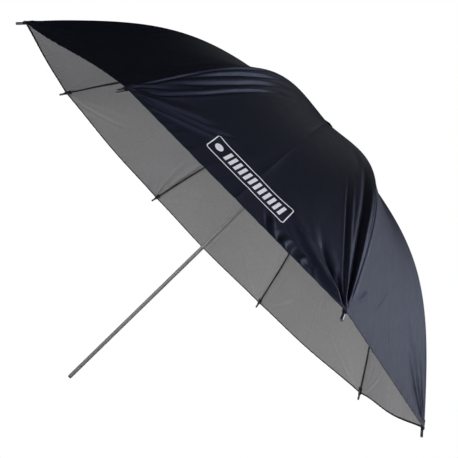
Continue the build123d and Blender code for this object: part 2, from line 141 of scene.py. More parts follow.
# ------------------------------------------------------------------ folds
# A half-gore is addressed by s, the distance along the rib from the apex, and v, 0 at the seam
# to 1 at the crease. q is the distance back from the hem and y the distance across from the seam.
# Each fold, in mm: path of (q, y), height (a valley is negative), width at the corner end and at
# the far end, the q range where it fades in, the q range where it fades out, and the sharpness
# of a valley, or None for a rounded ridge. Keys are (gore, rib).
FOLDS = {
    (1, 1): [
        # close under the seam
        ([(0, 0.4), (40, 2.6), (125, 3.4), (240, 4.6), (330, 5.0)],
         -2.0, 1.6, 3.4, (8, 60), (240, 430), 1.3),
        ([(30, 3), (90, 7), (141, 9.8), (192, 14.1), (261, 18.6), (336, 15.0), (430, 8)],
         -2.3, 1.5, 4.4, (60, 150), (240, 430), 1.4),
        ([(40, 6), (88, 15.9), (133, 24.7), (192, 31.9), (288, 33.8), (340, 32)],
         -1.5, 1.6, 3.6, (60, 120), (220, 400), 1.6),
        ([(10, 12), (41, 25.9), (64, 31), (119, 40.1), (200, 46), (291, 50.1), (330, 51)],
         -1.7, 1.5, 3.2, (15, 50), (200, 370), 1.6),
        ([(10, 8), (41, 21.5), (64, 26.2), (119, 35.2), (200, 41), (291, 45.6), (330, 47)],
         1.2, 2.2, 4.4, (30, 110), (200, 370), None),
        ([(70, 5), (141, 5.6), (192, 8.4), (261, 11.6), (336, 9.5)],
         1.2, 2.2, 4.0, (90, 180), (230, 400), None),
        ([(60, 7), (110, 14), (150, 20), (200, 24.5), (288, 26.2), (340, 25)],
         1.4, 3.0, 6.0, (70, 150), (210, 400), None),
        # short gathers at the corner
        ([(0, 0.6), (9.5, 2.2), (28, 7.0), (55, 16.6), (70, 20)],
         -1.2, 0.9, 2.2, (4, 14), (46, 68), 1.5),
        ([(0, 3), (8, 11), (15, 19), (26, 28)], -1.2, 0.9, 2.2, (2, 8), (18, 30), 1.4),
        ([(0, 3.5), (6, 12), (15, 21.5), (37, 45), (77, 78), (100, 92)],
         2.4, 2.6, 8.5, (4, 18), (60, 105), None),
        # the long diagonal pleat
        ([(0, 4), (5, 17), (15, 40.5), (29, 59), (48, 81.8), (65, 100.5), (84, 113.6), (100, 122)],
         -3.4, 1.8, 3.6, (3, 16), (70, 104), 1.5),
        ([(0, 8), (5, 24), (15, 50), (29, 69), (48, 92), (65, 111), (84, 124)],
         1.0, 2.0, 7.0, (8, 26), (50, 96), None),
    ],
    (1, 2): [
        ([(0, 0.8), (15, 2.0), (49, 6.4), (105, 13.0), (164, 17.6), (259, 19.7), (330, 16),
          (440, 10)],
         -5.2, 1.3, 7.5, (4, 40), (270, 440), 1.4),
        ([(0, 2.2), (24, 9.6), (84, 22.4), (139, 33.0), (190, 40.0), (250, 43), (330, 42)],
         2.5, 1.3, 4.4, (6, 40), (150, 320), None),
        ([(0, 3.4), (12, 8.2), (38, 17.4), (79, 28.6), (136, 41.0), (192, 50.0), (250, 54),
          (320, 55)],
         -1.9, 1.2, 2.0, (5, 30), (120, 300), 1.3),
        ([(0, 0.2), (30, 1.8), (105, 4.4), (164, 6.8), (259, 8)],
         1.2, 0.9, 3.0, (6, 40), (230, 320), None),
        ([(0, 4), (5.4, 7.2), (20, 22.5), (29, 31.5), (41, 46), (60, 62), (95, 80)],
         -4.6, 1.8, 7.0, (2, 12), (40, 95), 1.5),
        ([(0, 3.2), (12, 12), (31, 24.5), (50, 34)], -2.0, 1.2, 3.2, (3, 12), (34, 52), 1.4),
        ([(0, 9), (7, 20), (20, 46), (37, 80), (60, 112), (85, 130)],
         6.0, 4.0, 13.0, (2, 14), (42, 84), None),
        # puckers along the hem
        ([(0, 60), (12, 64), (20, 62)], 1.5, 2.4, 3.0, (0, 4), (12, 24), None),
        ([(0, 91), (9, 88), (20, 82)], 2.2, 3.0, 3.6, (0, 4), (12, 26), None),
        ([(0, 101), (9, 102), (20, 99)], -1.6, 2.4, 3.0, (0, 4), (12, 26), 1.0),
        ([(0, 119), (9, 120), (22, 114)], 2.4, 3.0, 3.6, (0, 4), (14, 28), None),
        ([(0, 129), (9, 131), (22, 128)], -1.7, 2.4, 3.0, (0, 4), (14, 28), 1.0),
        ([(0, 137), (12, 143), (28, 149)], 2.6, 3.0, 4.2, (0, 4), (18, 36), None),
        ([(0, 147), (12, 154), (28, 160)], -1.8, 2.6, 3.4, (0, 4), (18, 34), 1.0),
    ],
    (2, 2): [
        ([(0, 1.0), (60, 3.0), (130, 4.4), (250, 6)], -1.1, 0.9, 2.0, (8, 40), (230, 320), 1.3),
        ([(0, 1.8), (30, 5.4), (60, 7.2), (130, 8.6), (250, 10)],
         1.1, 1.2, 2.6, (8, 40), (230, 320), None),
        ([(0, 3.0), (30, 9.8), (60, 11.2), (130, 12.6), (250, 14)],
         -0.9, 1.2, 2.2, (8, 40), (200, 300), 1.3),
        ([(0, 6), (15, 13), (37, 23.5), (80, 49.3), (100, 60)],
         -1.7, 1.0, 2.6, (30, 44), (62, 84), 1.6),
        ([(0, 8), (15, 17), (37, 28.5), (80, 55), (100, 66)],
         0.7, 2.0, 4.0, (26, 44), (62, 88), None),
        ([(40, 75), (68, 95), (110, 119), (146, 136)], -0.9, 1.4, 2.0, (60, 78), (120, 150), 1.5),
        # storage crease, a little off the middle
        ([(0, 186), (35, 172), (80, 162), (130, 145), (186, 133), (281, 134)],
         -0.9, 1.2, 1.6, (10, 60), (200, 300), 1.5),
    ],
    (2, 3): [
        ([(0, 0.8), (60, 2.6), (130, 3.8), (250, 5)], -1.3, 0.9, 2.4, (8, 40), (230, 320), 1.3),
        ([(0, 3), (20, 12), (60, 26), (120, 38), (200, 46)],
         -2.0, 1.4, 5.0, (4, 30), (120, 210), 1.3),
        ([(0, 5), (20, 22), (60, 48), (120, 72), (200, 90)],
         2.4, 2.4, 9.0, (4, 30), (110, 220), None),
        ([(0, 8), (15, 34), (45, 72), (90, 106)], -2.4, 1.6, 6.0, (3, 20), (60, 110), 1.3),
    ],
}
FOLD_SOURCES = [(1, 1), (1, 2), (2, 3), (1, 1)]


def varied_folds(gore, rib):
    """Folds for a half-gore with none of its own: the same family, varied by a fixed seed."""
    rng = np.random.RandomState(500 + gore * 31 + rib * 7)
    folds = []
    for path, height, near, far, fade_in, fade_out, sharp in FOLDS[FOLD_SOURCES[rng.randint(4)]]:
        if rng.uniform() < 0.12:
            continue
        y_scale, q_scale = rng.uniform(0.8, 1.25), rng.uniform(0.8, 1.2)
        folds.append((
            [(q * q_scale, y * y_scale) for q, y in path],
            height * rng.uniform(0.25, 0.5),
            max(near, 2.0) * 1.3,
            max(far, 3.0) * rng.uniform(1.3, 1.7),
            (fade_in[0] * q_scale, fade_in[1] * q_scale),
            (fade_out[0] * q_scale, fade_out[1] * q_scale),
            sharp,
        ))
    return folds


def rounded_path(path):
    """Even stations in q along a fold's path, with its corners rounded off in y."""
    path = np.array(path, float)
    stations = np.linspace(path[0, 0], path[-1, 0], 161)
    line = np.interp(stations, path[:, 0], path[:, 1])
    kernel = np.hanning(25)
    kernel /= kernel.sum()
    # mirror 12 stations past each end, so that the ends stay in place
    padded = np.concatenate([2 * line[0] - line[12:0:-1], line, 2 * line[-1] - line[-2:-14:-1]])
    return stations, np.convolve(padded, kernel, "valid")


def fade(x, start, end):
    """Rises from 0 to 1 over a range of at least 1 mm."""
    return smoothstep((x - start) / max(end - start, 1.0))


def folds_height(gore, rib, q, y, width):
    """Outward height of the folds, metres."""
    total = np.zeros(q.shape)
    q_mm, y_mm = q / MM, y / MM
    folds = FOLDS.get((gore, rib)) or varied_folds(gore, rib)
    for path, height, near, far, fade_in, fade_out, sharp in folds:
        stations, line = rounded_path(path)
        centre = np.interp(q_mm, stations, line)
        slope = np.interp(q_mm, stations, np.gradient(line, stations))
        first, last = stations[0], stations[-1]
        along = (q_mm - first) / max(last - first, 1.0)
        fold_width = near + (far - near) * np.clip(along, 0, 1) ** 0.7
        x = (y_mm - centre) / (fold_width * np.sqrt(1 + slope * slope))
        envelope = fade(q_mm, *fade_in) * (1 - fade(q_mm, *fade_out))
        # each fold has a low shoulder of the opposite sign on both sides
        if sharp is None:
            core = np.exp(-(x**2) * 0.8) - 0.18 * np.exp(-((np.abs(x) - 2.4) ** 2) * 0.9)
        else:
            core = (np.exp(-np.abs(x) ** sharp * 1.1)
                    - 0.30 * np.exp(-((np.abs(x) - 2.3) ** 2) * 0.8))
        total += height * envelope * core
    v = y / np.maximum(width, 1e-6)
    return total * MM * smoothstep(y / (1.2 * MM)) * (1 - smoothstep((v - 0.86) / 0.13))


def ripples(gore, rib, q, y, width):
    """Slow unevenness of stretched cloth and small puckers along the stitched hem."""
    rng = np.random.RandomState(77 + gore * 13 + rib)
    total = np.zeros(q.shape)
    for _ in range(5):
        y_rate = rng.uniform(150, 420)
        phase = rng.uniform(0, 6.28)
        height = rng.uniform(0.06, 0.22) * MM
        total += (height * np.sin(y_rate * y + phase + rng.uniform(-70, 70) * q)
                  * np.exp(-q / 0.016))
    for _ in range(5):
        y_rate = rng.uniform(12, 40)
        q_rate = rng.uniform(5, 20)
        phase = rng.uniform(0, 6.28)
        height = rng.uniform(0.15, 0.50) * MM
        total += (height * np.sin(y_rate * y + phase) * np.sin(q_rate * q + phase * 1.7)
                  * smoothstep(q / 0.06))
    v = y / np.maximum(width, 1e-6)
    return total * smoothstep(y / 0.03) * (1 - smoothstep((v - 0.82) / 0.16))


def middle_crease(gore, s, v, width):
    """Storage crease: a shallow line down the middle of the gore, fading towards the apex."""
    back = (1 - v) * width
    strength = smoothstep((s - 0.10) / 0.10) * (0.75 + 0.25 * np.sin(37 * s + gore))
    if gore == 1:
        return 1.3 * MM * np.exp(-back / (3.6 * MM)) * strength
    groove = -0.9 * MM * np.exp(-((back / (1.3 * MM)) ** 2)) * strength
    shoulder = 0.35 * MM * np.exp(-(((back - 4.0 * MM) / (2.4 * MM)) ** 2)) * strength
    return groove + shoulder


# ------------------------------------------------------------------ half-gore surface
# how far each gore's hem hangs past the line between its corners, mm: (even part, lopsided part)
HEM_SHAPE = {
    1: (0.0, 0.0), 2: (0.0, 0.0), 3: (7.0, 2.0), 4: (5.5, 0.0),
    5: (5.5, 0.0), 6: (5.0, 0.0), 7: (2.0, 0.0), 8: (0.0, 4.0),
}
# how far a gore's middle stands proud of the even sag, mm
BULGE = {2: 5.0}

# column stations, distance from the seam and distance from the crease
SEAM_COLS = np.array([0.0, 1.1, 2.4, 3.1, 3.8, 4.8]) * MM
CREASE_COLS = np.array([9.0, 6.0, 4.0, 2.6, 1.4, 0.0]) * MM
MID_COLS = 80
COLUMNS = len(SEAM_COLS) + MID_COLS + len(CREASE_COLS)
FULL_COLS_WIDTH = 0.045   # below this half-width the end columns draw together
# row stations near the hem, distance back from it
HEM_ROWS = np.array([11.0, 8.4, 6.2, 4.6, 4.0, 3.6, 2.2, 0.9, 0.3, 0.0]) * MM
FAR_PITCH = 0.0068
NEAR_ZONE = (0.150, 0.014)      # distances back from the hem that the closer rows span

# added thickness each side of the hem, against q: cloth turned over twice, stitches above it
HEM_Q = np.array([0, 0.3, 0.9, 2.2, 3.6, 4.0, 4.6]) * MM
HEM_EXTRA = [0.05, 0.45, 0.6, 0.6, 0.5, 0.02, 0.0]
# added thickness outside at SEAM_COLS: folded allowance with a stitch line beside it
SEAM_EXTRA = [0.12, 0.42, 0.40, 0.05, 0.20, 0.0]


def row_stations():
    """Distances s of the rows, closer towards the hem."""
    near_start = LENGTH - NEAR_ZONE[0]
    far_count = len(np.arange(S_START, near_start, FAR_PITCH))
    far = np.linspace(S_START, near_start, far_count)[:-1]
    near = np.linspace(near_start, LENGTH - NEAR_ZONE[1], 50)
    return np.concatenate([far, near, LENGTH - HEM_ROWS])


S_ROWS = row_stations()


def column_stations(widths):
    """v of every column at each row."""
    stations = np.zeros((len(widths), COLUMNS))
    spread = np.linspace(0, 1, MID_COLS + 2)[1:-1] ** 1.18
    for i, width in enumerate(widths):
        shrink = min(1.0, width / FULL_COLS_WIDTH)
        left, right = SEAM_COLS * shrink, width - CREASE_COLS * shrink
        middle = left[-1] + (right[0] - left[-1]) * spread
        stations[i] = np.concatenate([left, middle, right]) / width
    return stations


def base_surface(azimuth, side, s, v, gore):
    """Middle of the smooth cloth, without folds."""
    t = t_of_s(s)
    profile = curve(t)
    out = radial(azimuth + side * HALF)
    seam = profile[..., 0, None] * radial(azimuth) + profile[..., 1, None] * UP
    crease = (profile[..., 0, None] * math.cos(HALF)) * out + profile[..., 1, None] * UP
    points = seam * (1 - v)[..., None] + crease * v[..., None]
    arch = 1 - (1 - v) ** 2
    bulge = BULGE.get(gore, 0.0) * MM * np.sin(math.pi * np.clip(t, 0, 1)) ** 2
    sag = (3 * t * (1 - t) * SAG - bulge) * arch
    points = points + sag[..., None] * (-SAG_IN * out + np.array([0, 0, -SAG_DOWN]))
    q = np.maximum(LENGTH - s, 0.0)
    even, lopsided = HEM_SHAPE[gore]
    across = 0.5 * v if side == 1 else 1 - 0.5 * v
    hang = even * np.sin(math.pi * across) ** 2 + lopsided * np.sin(2 * math.pi * across)
    drop = hang * MM * np.exp(-((q / 0.09) ** 2))
    run = curve_dir(t)
    return points + drop[..., None] * (run[..., 0, None] * out + run[..., 1, None] * UP)


def grid_normals(points, azimuth, side):
    """Outward unit normals of a grid of points."""
    normals = np.cross(np.gradient(points, axis=0), np.gradient(points, axis=1)) * side
    normals /= np.linalg.norm(normals, axis=-1, keepdims=True)
    # at the seam and at the crease the normal stays in that plane, so neighbours meet exactly
    for col, plane in ((0, azimuth), (-1, azimuth + side * HALF)):
        across = tangential(plane)
        normals[:, col] -= (normals[:, col] @ across)[:, None] * across
        normals[:, col] /= np.linalg.norm(normals[:, col], axis=-1, keepdims=True)
    return normals


def build_half(gore, rib, azimuth, side):
    """Grids of one half-gore: middle surface, normal, thickness outside and inside, s, v, y."""
    widths = half_width(t_of_s(S_ROWS))
    v = column_stations(widths)
    s = np.repeat(S_ROWS[:, None], COLUMNS, axis=1)
    width = np.repeat(widths[:, None], COLUMNS, axis=1)
    y = v * width
    q = LENGTH - s
    points = base_surface(azimuth, side, s, v, gore)
    smooth_normals = grid_normals(points, azimuth, side)
    relief = folds_height(gore, rib, q, y, width) + ripples(gore, rib, q, y, width)
    if gore != 2:      # gore 2 has its crease among its folds
        relief += middle_crease(gore, s, v, width)
    points = points + smooth_normals * relief[..., None]
    normals = grid_normals(points, azimuth, side)
    inside = CLOTH / 2 + np.interp(q, HEM_Q, HEM_EXTRA) * MM
    seam = np.interp(y, SEAM_COLS, SEAM_EXTRA) * MM
    outside = inside + seam * smoothstep(width / 0.012)
    return points, normals, outside, inside, s, v, y


def turn_share(v):
    """Share of the pleat's turn that a point takes: none at the seam, all at the crease."""
    v = np.clip(v, 0, 1)
    return v + 0.10 * v * v * (1 - v)


# ------------------------------------------------------------------ mesh helpers
def new_object(name, verts, faces, mats=(), mat_index=None, smooth=True):
    mesh = bpy.data.meshes.new(name)
    mesh.from_pydata([tuple(map(float, p)) for p in verts], [],
                     [tuple(int(i) for i in face) for face in faces])
    mesh.update()
    ob = bpy.data.objects.new(name, mesh)
    bpy.context.scene.collection.objects.link(ob)
    for mat in mats:
        mesh.materials.append(mat)
    if mat_index is not None:
        mesh.polygons.foreach_set("material_index", np.asarray(mat_index, np.int32))
    mesh.polygons.foreach_set("use_smooth", np.full(len(mesh.polygons), smooth))
    mesh.update()
    return ob


def set_weights(ob):
    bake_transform(ob)


def loop_vertices(mesh):
    indices = np.zeros(len(mesh.loops), np.int64)
    mesh.loops.foreach_get("vertex_index", indices)
    return indices


def add_uv(ob, uv):
    """uv holds one pair per vertex."""
    layer = ob.data.uv_layers.new(name="UVMap")
    layer.data.foreach_set("uv", np.asarray(uv, np.float32)[loop_vertices(ob.data)].ravel())


def tube(path, radius, closed=False, sides=6):
    """Verts and faces of a tube along a list of points."""
    path = np.asarray(path, float)
    count = len(path)
    if closed:
        tangents = np.roll(path, -1, 0) - np.roll(path, 1, 0)
    else:
        tangents = np.gradient(path, axis=0)
    tangents /= np.linalg.norm(tangents, axis=1, keepdims=True)
    verts, faces = [], []
    up = np.array([0.3, 0.2, 0.93])
    for point, tangent in zip(path, tangents):
        up = up - tangent * (up @ tangent)
        up /= np.linalg.norm(up)
        across = np.cross(tangent, up)
        for k in range(sides):
            a = 2 * math.pi * k / sides
            verts.append(point + radius * (math.cos(a) * up + math.sin(a) * across))
    for i in range(count if closed else count - 1):
        j = (i + 1) % count
        for k in range(sides):
            l = (k + 1) % sides
            faces.append((i * sides + k, i * sides + l, j * sides + l, j * sides + k))
    if not closed:
        verts.extend((path[0], path[-1]))
        start, end = count * sides, count * sides + 1
        last = (count - 1) * sides
        for k in range(sides):
            l = (k + 1) % sides
            faces.append((start, l, k))
            faces.append((end, last + k, last + l))
    return verts, faces


def merge(parts):
    verts, faces = [], []
    for part_verts, part_faces in parts:
        offset = len(verts)
        verts.extend(part_verts)
        faces.extend([tuple(i + offset for i in face) for face in part_faces])
    return verts, faces


# ------------------------------------------------------------------ shader helpers
def cleared(tree, output_kind):
    """Empty a node tree and return its new output node."""
    for node in list(tree.nodes):
        tree.nodes.remove(node)
    return tree.nodes.new(output_kind)


def node_material(name):
    mat = bpy.data.materials.new(name)
    mat.use_nodes = True
    tree = mat.node_tree
    out = cleared(tree, "ShaderNodeOutputMaterial")
    bsdf = tree.nodes.new("ShaderNodeBsdfPrincipled")
    tree.links.new(bsdf.outputs["BSDF"], out.inputs["Surface"])
    return mat, tree, bsdf


def feed(tree, socket, value):
    """Link an output to a socket, or set the socket to a number or colour."""
    if hasattr(value, "is_output"):
        tree.links.new(value, socket)
    elif isinstance(value, tuple):
        socket.default_value = (*value, 1.0)
    else:
        socket.default_value = value


def calc(tree, operation, *values):
    node = tree.nodes.new("ShaderNodeMath")
    node.operation = operation
    for i, value in enumerate(values):
        feed(tree, node.inputs[i], value)
    return node.outputs[0]


def mix_rgb(tree, factor, first, second):
    node = tree.nodes.new("ShaderNodeMix")
    node.data_type = "RGBA"
    # sockets 0, 6 and 7 are the factor and the two colours
    for i, value in ((0, factor), (6, first), (7, second)):
        feed(tree, node.inputs[i], value)
    return node.outputs[2]


def ramp(tree, factor, low, high):
    """Colour ramp between two stops (position, grey or colour)."""
    node = tree.nodes.new("ShaderNodeValToRGB")
    elements = node.color_ramp.elements
    while len(elements) > 1:
        elements.remove(elements[-1])
    elements[0].position = low[0]
    for element, (_, color) in ((elements[0], low), (elements.new(high[0]), high)):
        rgb = (color,) * 3 if isinstance(color, float) else color
        element.color = (*rgb, 1.0)
    tree.links.new(factor, node.inputs[0])
    return node.outputs[0]


def noise(tree, vector, scale, detail=3.0, rough=0.6, distortion=0.0):
    node = tree.nodes.new("ShaderNodeTexNoise")
    node.inputs["Scale"].default_value = scale
    node.inputs["Detail"].default_value = detail
    node.inputs["Roughness"].default_value = rough
    node.inputs["Distortion"].default_value = distortion
    tree.links.new(vector, node.inputs["Vector"])
    return node.outputs["Fac"]


def bump(tree, height, strength, distance, normal=None):
    node = tree.nodes.new("ShaderNodeBump")
    node.inputs["Strength"].default_value = strength
    node.inputs["Distance"].default_value = distance
    tree.links.new(height, node.inputs["Height"])
    if normal is not None:
        tree.links.new(normal, node.inputs["Normal"])
    return node.outputs["Normal"]


def scaled(tree, vector, x, y, z=1.0):
    node = tree.nodes.new("ShaderNodeMapping")
    node.inputs["Scale"].default_value = (x, y, z)
    tree.links.new(vector, node.inputs["Vector"])
    return node.outputs["Vector"]


def separated(tree, vector):
    node = tree.nodes.new("ShaderNodeSeparateXYZ")
    tree.links.new(vector, node.inputs[0])
    return node.outputs


def object_coords(tree):
    return tree.nodes.new("ShaderNodeTexCoord").outputs["Object"]


def tinted(color, gain, lift=0.0):
    return tuple(min(1.0, c * gain + lift) for c in color)


# ------------------------------------------------------------------ materials
STITCH_ROW = 0.0031       # stitch row beside the seam, distance from it
STITCH_HALF_WIDTH = 0.00035
STITCH_PITCH = 0.0026
STITCH_CUT = -0.35        # sine level above which the thread shows
WEFT_RATIO = 1.12         # threads along against threads across


def weave_height(tree, uv, pitch):
    """Plain weave: threads over and under."""
    coords = separated(tree, uv)
    rate = 2 * math.pi / pitch
    warp = calc(tree, "SINE", calc(tree, "MULTIPLY", coords[0], rate))
    weft = calc(tree, "SINE", calc(tree, "MULTIPLY", coords[1], rate * WEFT_RATIO))
    return calc(tree, "MULTIPLY", warp, weft)


def stitch_mask(tree, uv):
    coords = separated(tree, uv)
    off_row = calc(tree, "ABSOLUTE", calc(tree, "SUBTRACT", coords[0], STITCH_ROW))
    on_row = calc(tree, "LESS_THAN", off_row, STITCH_HALF_WIDTH)
    wave = calc(tree, "SINE", calc(tree, "MULTIPLY", coords[1], 2 * math.pi / STITCH_PITCH))
    dash = calc(tree, "GREATER_THAN", wave, STITCH_CUT)
    return calc(tree, "MULTIPLY", on_row, dash)


def cloth_material(name, dark, light, rough, specular, sheen, tint,
                   pitch=0.0006, metallic=0.0, relief=0.35, stitches=True):
    """Woven cloth. Its uv is in metres: u across from the seam, v along from the apex."""
    mat, tree, bsdf = node_material(name)
    uv_node = tree.nodes.new("ShaderNodeUVMap")
    uv_node.uv_map = "UVMap"
    uv = uv_node.outputs["UV"]
    coords = object_coords(tree)
    broad = noise(tree, coords, scale=5.5, detail=4.0)
    fine = noise(tree, coords, scale=60.0)
    grain_v = noise(tree, scaled(tree, uv, 900.0, 120.0), scale=1.0, detail=2.0, rough=0.5)
    grain_u = noise(tree, scaled(tree, uv, 120.0, 900.0), scale=1.0, detail=2.0, rough=0.5)
    weave = weave_height(tree, uv, pitch)

    color = mix_rgb(tree, ramp(tree, broad, low=(0.25, 0.0), high=(0.75, 1.0)), dark, light)
    grain = calc(tree, "MULTIPLY", calc(tree, "ADD", grain_v, grain_u), 0.5)
    threads = ramp(tree, grain, low=(0.3, tinted(dark, gain=0.55)),
                   high=(0.7, tinted(light, gain=1.5)))
    color = mix_rgb(tree, 0.35, color, threads)
    height = calc(tree, "MULTIPLY", weave, 0.25)
    height = calc(tree, "ADD", height, calc(tree, "MULTIPLY", fine, 0.5))
    if stitches:
        mask = stitch_mask(tree, uv)
        color = mix_rgb(tree, calc(tree, "MULTIPLY", mask, 0.6), color,
                        tinted(light, gain=2.4, lift=0.01))
        height = calc(tree, "ADD", height, calc(tree, "MULTIPLY", mask, 1.2))
    feed(tree, bsdf.inputs["Base Color"], color)
    feed(tree, bsdf.inputs["Roughness"], calc(tree, "MULTIPLY_ADD", fine, 0.14, rough - 0.07))
    feed(tree, bsdf.inputs["Metallic"], metallic)
    feed(tree, bsdf.inputs["Specular IOR Level"], specular)
    feed(tree, bsdf.inputs["Specular Tint"], tint)
    feed(tree, bsdf.inputs["Sheen Weight"], sheen)
    feed(tree, bsdf.inputs["Sheen Roughness"], 0.35)
    feed(tree, bsdf.inputs["Sheen Tint"], tint)
    crumple = noise(tree, scaled(tree, uv, 14.0, 5.0), scale=1.0, detail=4.0, rough=0.62,
                    distortion=0.6)
    normal = bump(tree, crumple, strength=0.22, distance=0.006)
    normal = bump(tree, height, strength=relief, distance=0.00018, normal=normal)
    feed(tree, bsdf.inputs["Normal"], normal)
    return mat


def metal_material(name, color, rough, grain, metallic=1.0, scratch=0.15, coat=0.0,
                   relief=0.12, wear_gain=1.0):
    """Metal with fine lines; grain is the lines' frequency along X, Y and Z."""
    mat, tree, bsdf = node_material(name)
    coords = object_coords(tree)
    lines = noise(tree, scaled(tree, coords, *grain), scale=1.0, detail=4.0)
    broad = noise(tree, coords, scale=9.0)
    wear = noise(tree, coords, scale=220.0, detail=4.0, rough=0.65)
    base = mix_rgb(tree, lines, tinted(color, 1 - scratch), tinted(color, 1 + scratch))
    patches = ramp(tree, broad, low=(0.35, 0.0), high=(0.8, 0.25))
    base = mix_rgb(tree, patches, base, tinted(color, gain=0.72))
    feed(tree, bsdf.inputs["Base Color"], base)
    worn = calc(tree, "MULTIPLY", lines, wear)
    feed(tree, bsdf.inputs["Roughness"],
         calc(tree, "MULTIPLY_ADD", worn, 0.30 * wear_gain, rough - 0.06 * wear_gain))
    feed(tree, bsdf.inputs["Metallic"], metallic)
    feed(tree, bsdf.inputs["Coat Weight"], coat)
    feed(tree, bsdf.inputs["Coat Roughness"], 0.12)
    if relief > 0:
        height = calc(tree, "ADD", lines, calc(tree, "MULTIPLY", wear, 0.4))
        feed(tree, bsdf.inputs["Normal"], bump(tree, height, strength=relief, distance=0.0001))
    return mat


def plastic_material(name, color, rough):
    """Grained plastic, paler on its sharp edges."""
    mat, tree, bsdf = node_material(name)
    coords = object_coords(tree)
    grain = noise(tree, coords, scale=900.0)
    broad = noise(tree, coords, scale=30.0)
    geometry = tree.nodes.new("ShaderNodeNewGeometry")
    edges = ramp(tree, geometry.outputs["Pointiness"], low=(0.48, 0.0), high=(0.56, 0.5))
    base = mix_rgb(tree, broad, tinted(color, gain=0.8), tinted(color, gain=1.25))
    base = mix_rgb(tree, edges, base, tinted(color, gain=2.2, lift=0.01))
    feed(tree, bsdf.inputs["Base Color"], base)
    feed(tree, bsdf.inputs["Roughness"], calc(tree, "MULTIPLY_ADD", grain, 0.2, rough - 0.1))
    feed(tree, bsdf.inputs["Normal"], bump(tree, grain, strength=0.15, distance=0.00012))
    return mat


OUTER = cloth_material(
    "nylon_outside", dark=(0.0030, 0.0033, 0.0052), light=(0.0038, 0.0042, 0.0066),
    rough=0.49, specular=0.40, sheen=0.0, tint=(0.52, 0.60, 1.0))
INSIDE = cloth_material(
    "silver_inside", dark=(0.475, 0.460, 0.442), light=(0.555, 0.539, 0.520),
    rough=0.52, specular=0.5, sheen=0.0, tint=(1, 1, 1), metallic=0.2, relief=0.2)
HEM = cloth_material(
    "hem_black", dark=(0.004, 0.004, 0.005), light=(0.007, 0.007, 0.009),
    rough=0.6, specular=0.3, sheen=0.05, tint=(0.8, 0.85, 1.0), stitches=False)
PRINT = cloth_material(
    "print_white", dark=(0.94, 0.94, 0.95), light=(0.98, 0.98, 0.98),
    rough=0.75, specular=0.6, sheen=0.6, tint=(1, 1, 1), relief=0.15, stitches=False)
THREAD = cloth_material(
    "black_thread", dark=(0.006, 0.006, 0.007), light=(0.012, 0.012, 0.014),
    rough=0.7, specular=0.3, sheen=0.1, tint=(0.8, 0.85, 1.0), pitch=0.0004, stitches=False)
SHAFT = metal_material("satin_tube", (0.34, 0.34, 0.345), rough=0.55, grain=(60.0, 60.0, 1.5),
                       metallic=0.30, scratch=0.04, relief=0.0, wear_gain=0.0)
RIBS = metal_material("lacquered_rib", (0.075, 0.068, 0.062), rough=0.45,
                      grain=(160.0, 160.0, 160.0), metallic=0.4, scratch=0.25, coat=0.35)
TIPS = metal_material("gloss_tip", (0.10, 0.10, 0.11), rough=0.20,
                      grain=(260.0, 260.0, 260.0), metallic=0.85, scratch=0.2, coat=0.8)
WIRE = metal_material("bright_wire", (0.55, 0.55, 0.55), rough=0.30, grain=(300.0, 300.0, 300.0))
RIVET = metal_material("rivet_steel", (0.50, 0.50, 0.51), rough=0.28, grain=(400.0, 400.0, 400.0))
SPRING = metal_material("spring_steel", (0.35, 0.36, 0.40), rough=0.25, grain=(60.0, 400.0, 20.0))
MOULDED = plastic_material("moulded_black", (0.018, 0.018, 0.019), rough=0.5)
PLUG = plastic_material("end_plug_grey", (0.07, 0.07, 0.072), rough=0.5)
CAP = metal_material("cap_lacquer", (0.06, 0.032, 0.03), rough=0.3, grain=(200.0, 200.0, 200.0),
                     metallic=0.6, scratch=0.2, coat=0.6)

NODE_MATERIAL = {
    "shaft_tube": SHAFT, "shaft_end_plug": PLUG,
    "crown": MOULDED, "crown_wire": WIRE, "crown_pin": RIVET, "top_cap": CAP,
    "runner": MOULDED, "runner_wire": WIRE, "runner_stop_pin": RIVET,
    "catch_spring": SPRING, "catch_pin": RIVET,
}


def frame_material(name):
    """Material of a frame part, or None for a part that keeps its own."""
    if name in NODE_MATERIAL:
        return NODE_MATERIAL[name]
    if name.startswith("rib_tip"):
        return TIPS
    if name.startswith("rib_") or (name.startswith("stretcher_") and "rivet" not in name):
        return RIBS
    return RIVET if "rivet" in name else None


for name, part in NODES.items():
    mat = frame_material(name)
    if mat is not None:
        part.data.materials.clear()
        part.data.materials.append(mat)


# ------------------------------------------------------------------ canopy
def cloth_normals(ob, normals, on_sheet):
    """Shading normals that follow the cloth on both sheets; the edge faces stay crisp."""
    mesh = ob.data
    loops = loop_vertices(mesh)
    totals = np.zeros(len(mesh.polygons), np.int64)
    mesh.polygons.foreach_get("loop_total", totals)
    flat = np.zeros(len(mesh.polygons) * 3, np.float32)
    mesh.polygons.foreach_get("normal", flat)
    loop_face = np.repeat(np.arange(len(totals)), totals)
    shading = flat.reshape(-1, 3)[loop_face].copy()
    smooth = np.concatenate([normals, -normals])
    mask = np.asarray(on_sheet)[loop_face]
    shading[mask] = smooth[loops[mask]]
    mesh.normals_split_custom_set([tuple(map(float, normal)) for normal in shading])


